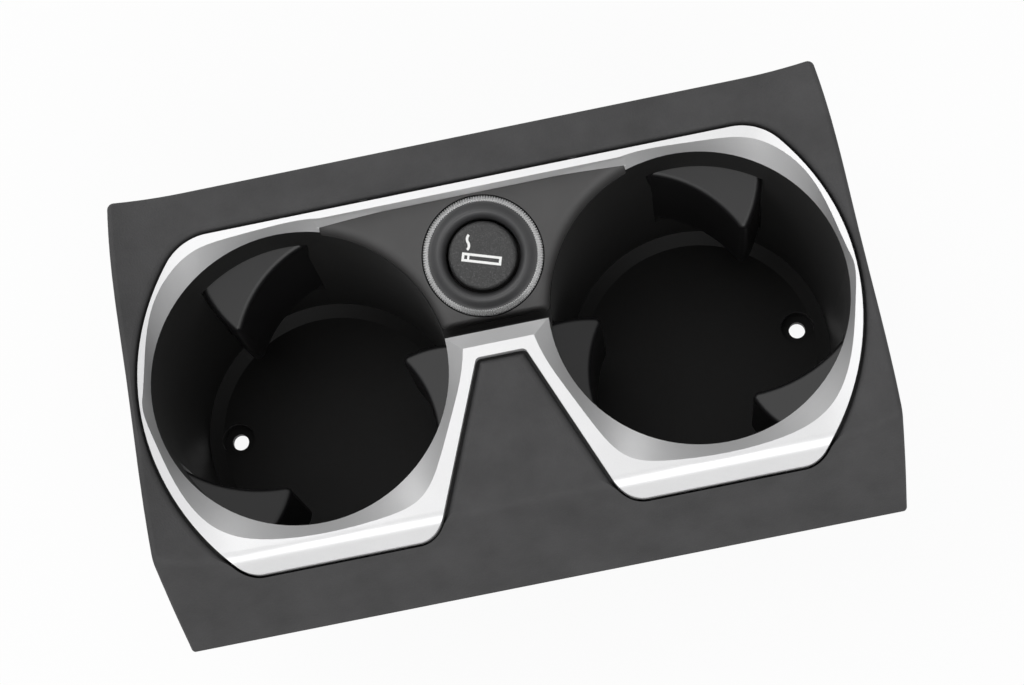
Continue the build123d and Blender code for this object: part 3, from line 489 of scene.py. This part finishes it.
@dataclass
class Workshop:
    """Shared means of every sub-assembly: the frame, the finishes and the mesh helpers."""

    frame: Mapping[str, Any]
    wardrobe: Wardrobe = field(default_factory=Wardrobe)

    def joint(self, name: str) -> Mapping[str, Any]:
        """Joint of the frame by its name."""
        return next(joint for joint in self.frame["joints"] if joint["name"] == name)

    def cup_axis(self, side: Side) -> Vector:
        """Middle of the hinges of a cup's flaps.

        Args:
            side: the cup.

        Returns:
            A point on the cup's axis.
        """
        flaps = [joint for joint in self.frame["joints"] if joint["name"].startswith(f"flap_{side.word}")]
        return sum((Vector(joint["pos_m"]) for joint in flaps), Vector()) / len(flaps)

    def points(self, node: str) -> list[Vector]:
        """Corners of a CAD node's mesh."""
        return [vert.co.copy() for vert in self.frame["nodes"][node].data.vertices]

    def dress(self, names: Iterable[str], finish: Finish) -> None:
        """Gives CAD nodes a finish.

        Args:
            names: node names.
            finish: the finish to wear.
        """
        material = self.wardrobe.material(finish)
        for name in names:
            node = self.frame["nodes"][name]
            if not node.material_slots:
                node.data.materials.append(material)
            for slot in node.material_slots:
                slot.material = material
            LOG.info("dressed %s in %s", name, finish.name)

    def piece(
        self,
        bm: bmesh.types.BMesh,
        name: str,
        finish: Finish,
        body: str | None,
        slot: str,
        smooth: float = 35.0,
    ) -> bpy.types.Object:
        """Turns a bmesh into a piece that rides on a body, or that is left without one.

        Args:
            bm: the mesh in work, freed here.
            name: the piece's name.
            finish: the finish to wear.
            body: the body that carries it, or None to leave it without a body.
            slot: not used.
            smooth: edges sharper than this angle in degrees stay sharp.

        Returns:
            The new object.
        """
        bmesh.ops.remove_doubles(bm, verts=bm.verts, dist=1e-7)
        bmesh.ops.recalc_face_normals(bm, faces=bm.faces)
        for face in bm.faces:
            face.smooth = True
        for edge in bm.edges:
            edge.smooth = len(edge.link_faces) == 2 and edge.calc_face_angle(0.0) < math.radians(smooth)
        mesh = bpy.data.meshes.new(name)
        bm.to_mesh(mesh)
        bm.free()
        mesh.materials.append(self.wardrobe.material(finish))
        made = bpy.data.objects.new(name, mesh)
        bpy.context.scene.collection.objects.link(made)
        if body:
            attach(made, body)
        LOG.info("built %s on %s with %d faces", name, body or "two bodies", len(mesh.polygons))
        return made


def lathe(points: Sequence[tuple[float, float]], steps: int) -> bmesh.types.BMesh:
    """Turns a closed profile about Z.

    Args:
        points: radius and height of the profile's corners.
        steps: divisions of the full turn.

    Returns:
        The turned ring.
    """
    bm = bmesh.new()
    corners = [bm.verts.new((radius, 0.0, height)) for radius, height in points]
    rim = [bm.edges.new(pair) for pair in zip(corners, corners[1:] + corners[:1])]
    bmesh.ops.spin(
        bm, geom=corners + rim, cent=(0, 0, 0), axis=(0, 0, 1), dvec=(0, 0, 0),
        angle=2 * math.pi, steps=steps, use_merge=True, use_duplicate=False,
    )
    return bm


@dataclass
class CoilSpring:
    """Wire wound round an axis, with straight legs where it has them."""

    radius: float
    wire: float
    turns: float
    length: float
    start: float = 0.0
    sides: int = 8
    steps_per_turn: int = 20

    def wind(self, lead_in: float = 0.0, lead_out: float = 0.0) -> bmesh.types.BMesh:
        """Winds the coil about Z, from height 0 upwards.

        Args:
            lead_in: length of the straight leg before the first turn.
            lead_out: length of the straight leg after the last turn.

        Returns:
            The coil with its legs.
        """
        bm = bmesh.new()
        steps = round(self.turns * self.steps_per_turn)
        ring = bmesh.ops.create_circle(bm, segments=self.sides, radius=self.wire / 2)["verts"]
        stand = Matrix.Translation((self.radius, 0, 0)) @ Matrix.Rotation(math.pi / 2, 4, "X")
        bmesh.ops.transform(bm, matrix=Matrix.Rotation(self.start, 4, "Z") @ stand, verts=ring)
        first = list(bm.edges)
        grown = bmesh.ops.spin(
            bm, geom=ring + first, cent=(0, 0, 0), axis=(0, 0, 1), dvec=(0, 0, self.length / steps),
            angle=2 * math.pi * self.turns, steps=steps, use_merge=False, use_duplicate=False,
        )
        last = [e for e in grown["geom_last"] if isinstance(e, bmesh.types.BMEdge)]
        end = self.start + 2 * math.pi * self.turns
        for edges, angle, run in ((first, self.start, -lead_in), (last, end, lead_out)):
            if run:
                drawn = bmesh.ops.extrude_edge_only(bm, edges=edges)["geom"]
                tips = [v for v in drawn if isinstance(v, bmesh.types.BMVert)]
                bmesh.ops.translate(
                    bm, verts=tips, vec=Vector((-math.sin(angle), math.cos(angle), 0.0)) * run
                )
        bmesh.ops.holes_fill(bm, edges=[e for e in bm.edges if e.is_boundary], sides=self.sides)
        return bm


@dataclass
class Shell:
    """Fascia, trim ring, cup housing and bridge deck."""

    shop: Workshop
    rim_r: float = 42.02 * MM
    rim_z: float = 81.0 * MM
    toe_seat: float = 0.05 * MM
    toe_rise: float = 1.99 * MM
    toe_fall: float = 0.15 * MM
    toe_lean: float = 0.60 * MM
    toe_wall: float = 0.7 * MM
    toe_start: float = math.radians(11.7)
    toe_span: float = math.radians(5.75)
    toe_steps: int = 8

    def dress(self) -> None:
        """Gives the big mouldings their finishes."""
        self.shop.dress(["fascia"], FASCIA)
        self.shop.dress(["trim_ring"], SILVER)
        self.shop.dress(["cup_housing"], CUP_BLACK)
        self.shop.dress(["bridge_deck"], DECK_GREY)

    def toes(self) -> None:
        """Carries the trim's funnels on under its back wall, along the cup rims as far as the deck's ends."""
        low, high = self.rim_z + self.toe_seat, self.rim_z + self.toe_rise
        lean = self.rim_r + self.toe_lean
        sink = Vector((0.0, 0.0, -self.toe_fall / self.toe_steps))
        outline = (
            (self.rim_r, low), (lean, high), (lean + self.toe_wall, high), (self.rim_r + self.toe_wall, low),
        )
        for side in Side:
            bm = bmesh.new()
            corners = [bm.verts.new((0.0, radius, height)) for radius, height in outline]
            start = bm.faces.new(corners)
            turn = Matrix.Rotation(side.value * self.toe_start, 4, "Z")
            bmesh.ops.transform(bm, matrix=turn, verts=bm.verts)
            bmesh.ops.spin(
                bm, geom=[start, *start.edges, *corners], cent=(0, 0, 0), axis=(0, 0, 1), dvec=sink,
                angle=side.value * self.toe_span, steps=self.toe_steps, use_merge=False,
                use_duplicate=False,
            )
            axis = self.shop.cup_axis(side)
            bmesh.ops.translate(bm, vec=(axis.x, axis.y, 0.0), verts=bm.verts)
            self.shop.piece(bm, f"trim_toe_{side.word}", SILVER, "base", "trim_silver")


@dataclass
class Flaps:
    """Sprung flaps of both cups, with their pins and wound torsion springs."""

    shop: Workshop
    per_cup: int = 3
    coil_r: float = 1.75 * MM
    wire: float = 0.7 * MM
    turns: float = 8.0
    leg: float = 8.0 * MM

    def names(self, kind: str) -> list[str]:
        """Node names of one kind of piece in both cups."""
        return [f"{kind}_{side.word}_{n}" for side in Side for n in range(1, self.per_cup + 1)]

    def dress(self) -> None:
        """Gives flaps and pins their finishes."""
        self.shop.dress(self.names("flap"), FLAP_BLACK)
        self.shop.dress(self.names("hinge_pin"), PIN_STEEL)

    def wind_springs(self) -> None:
        """Winds a torsion spring in the place of each stand-in tube."""
        for side in Side:
            flaps = [f"flap_{side.word}_{n}" for n in range(1, self.per_cup + 1)]
            hinges = {flap: Vector(self.shop.joint(f"{flap}_swing")["pos_m"]) for flap in flaps}
            for flap, hinge in hinges.items():
                self._wind(side, flap, hinge, hinge - self.shop.cup_axis(side))

    def _wind(self, side: Side, flap: str, hinge: Vector, outward: Vector) -> None:
        """Winds one spring, its upper leg behind the cup wall and its lower leg in the flap.

        Args:
            side: the cup.
            flap: the flap's node and body.
            hinge: a point on the hinge's axis.
            outward: direction from the cup's axis to the hinge.
        """
        node = flap.replace("flap", "flap_spring")
        low, high = (corner.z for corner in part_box(node))
        coil = CoilSpring(self.coil_r, self.wire, self.turns, high - low - self.wire)
        bm = coil.wind(self.leg, self.leg)
        outward = outward.normalized()
        seat = Matrix((outward, side.value * Vector((-outward.y, outward.x, 0.0)), (0.0, 0.0, 1.0)))
        place = Matrix.Translation((hinge.x, hinge.y, low + self.wire / 2)) @ seat.transposed().to_4x4()
        bmesh.ops.transform(bm, matrix=place, verts=bm.verts)
        made = self.shop.piece(bm, f"wound_{node}", SPRING_STEEL, None, "spring_steel")
        top, foot = (hinge.x, hinge.y, high - self.wire), (hinge.x, hinge.y, low + self.wire)
        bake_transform(made)
        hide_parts(node)


@dataclass
class Turned:
    """Axis and extents of a turned CAD node."""

    shop: Workshop
    node: str
    axis: Vector

    def __post_init__(self) -> None:
        """Measures the node's mesh in a frame with Z along the axis."""
        across = Vector((1.0, 0.0, 0.0))
        self.turn = Matrix((across, self.axis.cross(across), self.axis)).transposed()
        local = [self.turn.transposed() @ point for point in self.shop.points(self.node)]
        self.middle = Vector(
            (min(p[k] for p in local) + max(p[k] for p in local)) / 2 for k in range(2)
        )
        reach = [(p.xy - self.middle).length for p in local]
        self.inner, self.outer = min(reach), max(reach)
        self.low, self.high = min(p.z for p in local), max(p.z for p in local)

    def place(self, height: float) -> Matrix:
        """Matrix from the turned frame to the row frame.

        Args:
            height: place of the frame's origin along the axis.

        Returns:
            The matrix.
        """
        origin = self.turn @ Vector((*self.middle, height))
        return Matrix.Translation(origin) @ self.turn.to_4x4()


@dataclass
class Lighter:
    """Cigarette lighter: knurled ring, bezel, socket, plug and the sign on its knob."""

    shop: Workshop
    ribs: int = 140
    rib_depth: float = 0.40 * MM
    rib_smooth: float = 20.0
    ring_rise: float = 1.2 * MM
    ring_soft: float = 0.12 * MM
    ink: float = 0.04 * MM
    stroke: float = 0.72 * MM
    sign_turn: float = math.radians(-17.9)
    paper_ends: tuple[float, float] = (-5.75 * MM, 5.50 * MM)
    paper_edges: tuple[float, float] = (-2.40 * MM, 0.12 * MM)
    ember: tuple[float, float] = (-4.20 * MM, -3.60 * MM)
    smoke_foot: tuple[float, float] = (-4.47 * MM, 0.95 * MM)
    smoke_bend: float = 1.65 * MM
    smoke_reach: float = math.radians(80)
    smoke_steps: int = 10
    spring_turns: float = 7.0
    wire_play: float = 0.2 * MM

    def __post_init__(self) -> None:
        """Reads the lighter's axis from the frame."""
        self.axis = Vector(self.shop.joint("lighter_pull")["axis"]).normalized()

    def dress(self) -> None:
        """Gives the lighter's CAD nodes their finishes."""
        self.shop.dress(["lighter_bezel"], BEZEL_BLACK)
        self.shop.dress(["lighter_knob"], KNOB_BLACK)
        self.shop.dress(["lighter_sleeve"], SLEEVE_BLACK)
        self.shop.dress(["socket_barrel", "element_clip", "lighter_element"], TUBE_STEEL)
        self.shop.dress(["centre_contact", "centre_terminal", "shell_terminal"], CONTACT_BRASS)
        self.shop.dress(["retaining_nut"], NUT_NYLON)
        self.shop.dress(["socket_insulator"], BOARD_BROWN)

    def knurl(self) -> None:
        """Builds the bright conical ring with its fine ribs."""
        ring = Turned(self.shop, "knurl_ring", self.axis)
        edge, soft = ring.high - self.ring_rise, self.ring_soft
        outline = (
            (ring.inner, ring.low), (ring.outer, ring.low), (ring.outer, edge),
            (ring.outer - soft, edge + soft), (ring.inner + soft, ring.high - soft / 2),
            (ring.inner, ring.high - soft),
        )
        bm = lathe(outline, 4 * self.ribs)
        step = math.pi / (2 * self.ribs)
        for vert in bm.verts:
            valley = round(math.atan2(vert.co.y, vert.co.x) / step) % 4 > 1
            if valley and vert.co.z > edge - HAIR:
                flat = Vector((vert.co.x, vert.co.y, 0.0)).normalized()
                vert.co -= (flat + Vector((0.0, 0.0, 1.0))) * self.rib_depth * math.sqrt(0.5)
        bmesh.ops.transform(bm, matrix=ring.place(0.0), verts=bm.verts)
        made = self.shop.piece(bm, "knurled_ring", KNURL_SILVER, "base", "ring_chrome", self.rib_smooth)
        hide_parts("knurl_ring")

    def sign(self) -> None:
        """Builds the printed sign: a cigarette with its smoke."""
        knob = Turned(self.shop, "lighter_knob", self.axis)
        bm = bmesh.new()
        low, high = self.paper_edges
        self._frame(bm, *self.paper_ends, low, high)
        self._bar(bm, *self.ember, low + self.stroke, high - self.stroke)
        self._smoke(bm, Vector((*self.smoke_foot, 0.0)))
        spun = Matrix.Rotation(self.sign_turn, 4, "Z")
        bmesh.ops.transform(bm, matrix=knob.place(knob.high) @ spun, verts=bm.verts)
        self.shop.piece(bm, "lighter_sign", SIGN_WHITE, "lighter_button", "knob_plastic")

    def _bar(self, bm: bmesh.types.BMesh, left: float, right: float, low: float, high: float) -> None:
        """Adds a flat printed bar.

        Args:
            bm: the mesh in work.
            left: lowest X.
            right: highest X.
            low: lowest Y.
            high: highest Y.
        """
        box = bmesh.ops.create_cube(bm, size=1.0)["verts"]
        bmesh.ops.scale(bm, vec=(right - left, high - low, self.ink), verts=box)
        bmesh.ops.translate(bm, vec=((left + right) / 2, (low + high) / 2, self.ink / 2), verts=box)

    def _frame(self, bm: bmesh.types.BMesh, left: float, right: float, low: float, high: float) -> None:
        """Adds a printed outline of a rectangle.

        Args:
            bm: the mesh in work.
            left: lowest X.
            right: highest X.
            low: lowest Y.
            high: highest Y.
        """
        self._bar(bm, left, right, low, low + self.stroke)
        self._bar(bm, left, right, high - self.stroke, high)
        self._bar(bm, left, left + self.stroke, low + self.stroke, high - self.stroke)
        self._bar(bm, right - self.stroke, right, low + self.stroke, high - self.stroke)

    def _smoke(self, bm: bmesh.types.BMesh, start: Vector) -> None:
        """Adds the curl of smoke over the burning end, a ribbon swept along two bends.

        Args:
            bm: the mesh in work.
            start: middle of the ribbon's lower end.
        """
        bend, reach = self.smoke_bend, self.smoke_reach
        across = Vector((math.cos(reach / 2), -math.sin(reach / 2), 0.0))
        ends = [bm.verts.new(start + side * across * self.stroke / 2) for side in (-1, 1)]
        geom: list[Any] = [*ends, bm.edges.new(ends)]
        ribbon: list[bmesh.types.BMFace] = []
        for turn in (1, -1):
            ends = [item for item in geom if isinstance(item, bmesh.types.BMVert)]
            ends.sort(key=lambda vert: vert.co.x)
            middle = (ends[0].co + ends[1].co) / 2
            across = (ends[1].co - ends[0].co).normalized()
            known = set(bm.faces)
            grown = bmesh.ops.spin(
                bm, geom=geom, cent=middle - turn * bend * across, axis=(0, 0, 1), dvec=(0, 0, 0),
                angle=turn * reach, steps=self.smoke_steps, use_merge=False, use_duplicate=False,
            )
            geom = list(grown["geom_last"])
            ribbon += [face for face in bm.faces if face not in known]
        raised = bmesh.ops.extrude_face_region(bm, geom=ribbon)["geom"]
        top = [item for item in raised if isinstance(item, bmesh.types.BMVert)]
        bmesh.ops.translate(bm, verts=top, vec=(0.0, 0.0, self.ink))

    def return_spring(self) -> None:
        """Winds the plug's return spring in the place of its stand-in tube."""
        tube = Turned(self.shop, "lighter_spring", self.axis)
        wire = tube.outer - tube.inner - self.wire_play
        length = tube.high - tube.low - wire
        bm = CoilSpring((tube.inner + tube.outer) / 2, wire, self.spring_turns, length).wind()
        bmesh.ops.transform(bm, matrix=tube.place(tube.low + wire / 2), verts=bm.verts)
        made = self.shop.piece(bm, "wound_lighter_spring", SPRING_STEEL, "lighter_plug", "spring_steel")
        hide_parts("lighter_spring")
        travel = self.shop.joint("lighter_press")["range_m"][1]
        tuple(tube.place(tube.low).translation)
        1.0 - travel / (tube.high - tube.low)
        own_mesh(made)


@dataclass
class Fixings:
    """Screws and console clips."""

    shop: Workshop
    screws: int = 7
    clips: int = 4

    def dress(self) -> None:
        """Gives screws and clips their finishes."""
        self.shop.dress([f"housing_screw_{n}" for n in range(1, self.screws + 1)], SCREW_ZINC)
        self.shop.dress([f"console_clip_{n}" for n in range(1, self.clips + 1)], CLIP_STEEL)


@dataclass
class Lamp:
    """One soft studio lamp aimed at a point."""

    name: str
    place: tuple[float, float, float]
    aim: tuple[float, float, float]
    size: float
    watts: float

    def hang(self) -> None:
        """Hangs the lamp."""
        data = bpy.data.lights.new(self.name, "AREA")
        data.shape = "DISK"
        data.size = self.size
        data.energy = self.watts
        lamp = bpy.data.objects.new(self.name, data)
        lamp.location = self.place
        lamp.rotation_euler = (Vector(self.aim) - Vector(self.place)).to_track_quat("-Z", "Y").to_euler()
        bpy.context.scene.collection.objects.link(lamp)


@dataclass
class Studio:
    """Pale table, soft lamps and the camera of the photograph."""

    lens: float = 2500.0 / 1024.0 * 36.0
    eye: tuple[float, float, float] = (0.02614, -0.16768, 0.75449)
    right: tuple[float, float, float] = (0.97966, -0.18427, -0.07950)
    up: tuple[float, float, float] = (0.19801, 0.95201, 0.23337)
    back: tuple[float, float, float] = (0.03268, -0.24437, 0.96913)
    table: float = 3.0
    table_drop: float = 0.05 * MM
    card: Colour = (0.88, 0.88, 0.88)
    white: Colour = (1.0, 1.0, 1.0)
    paper: float = 0.93
    glow: float = 0.50
    lamps: tuple[Lamp, ...] = (
        Lamp("key", (-0.60, 0.75, 1.15), (0.0, 0.0, 0.05), 1.8, 9.0),
        Lamp("front_fill", (0.08, -1.00, 1.00), (0.0, 0.0, 0.05), 1.2, 7.5),
    )

    def set_camera(self) -> None:
        """Stands the camera where the photograph was taken."""
        data = bpy.data.cameras.new("photo_camera")
        data.sensor_width = 36.0
        data.sensor_fit = "HORIZONTAL"
        data.lens = self.lens
        data.clip_start = 0.01
        camera = bpy.data.objects.new("photo_camera", data)
        axes = Matrix((self.right, self.up, self.back)).transposed()
        camera.matrix_world = Matrix.Translation(self.eye) @ axes.to_4x4()
        bpy.context.scene.collection.objects.link(camera)
        bpy.context.scene.camera = camera

    def _seen(self, graph: Graph) -> Term:
        """Marks the rays that show the background, straight or in a reflection.

        Args:
            graph: the graph that the nodes go into.

        Returns:
            Level 1 for such a ray and 0 for light that falls on a surface.
        """
        seen = graph.node("ShaderNodeLightPath", output="Is Camera Ray")
        for ray in ("Is Glossy Ray", "Is Transmission Ray"):
            kind = graph.node("ShaderNodeLightPath", output=ray)
            seen = graph.node("ShaderNodeMath", {"operation": "MAXIMUM"}, {0: seen, 1: kind})
        return seen

    def lay_table(self) -> None:
        """Lays the pale table, which keeps the object's shadow."""
        bm = bmesh.new()
        bmesh.ops.create_grid(bm, x_segments=1, y_segments=1, size=self.table)
        bmesh.ops.translate(bm, verts=bm.verts, vec=(0.0, 0.0, -self.table_drop))
        mesh = bpy.data.meshes.new("table")
        bm.to_mesh(mesh)
        bm.free()
        graph = Graph(bpy.data.materials.new("table_white"))
        matt = graph.node("ShaderNodeBsdfDiffuse", None, {"Color": self.card})
        bright = graph.node("ShaderNodeEmission", None, {"Color": self.white, "Strength": 1.0})
        share = self.paper * self._seen(graph)
        mixed = graph.node("ShaderNodeMixShader", None, {0: share, 1: matt, 2: bright})
        graph.node("ShaderNodeOutputMaterial", None, {"Surface": mixed})
        mesh.materials.append(graph.owner)
        table = bpy.data.objects.new("table", mesh)
        bpy.context.scene.collection.objects.link(table)

    def light(self) -> None:
        """Sets the world's even light and hangs the lamps."""
        graph = Graph(bpy.data.worlds.new("studio"))
        level = self.glow + (1.0 - self.glow) * self._seen(graph)
        sky = graph.node("ShaderNodeBackground", None, {"Color": self.white, "Strength": level})
        graph.node("ShaderNodeOutputWorld", None, {"Surface": sky})
        bpy.context.scene.world = graph.owner
        for lamp in self.lamps:
            lamp.hang()
        bpy.context.scene.view_settings.view_transform = "Standard"


def main() -> None:
    """Builds the studio and the sub-assemblies in order."""
    logging.basicConfig(level=logging.INFO, format="%(name)s: %(message)s")
    shop = Workshop(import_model())
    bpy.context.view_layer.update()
    studio = Studio()
    studio.set_camera()
    studio.lay_table()
    studio.light()
    shell, flaps, lighter, fixings = Shell(shop), Flaps(shop), Lighter(shop), Fixings(shop)
    steps: tuple[Callable[[], None], ...] = (
        shell.dress, shell.toes, flaps.dress, flaps.wind_springs, lighter.dress, lighter.knurl, lighter.sign,
        lighter.return_spring, fixings.dress,
    )
    for step in steps:
        step()


if __name__ == "__main__":
    main()
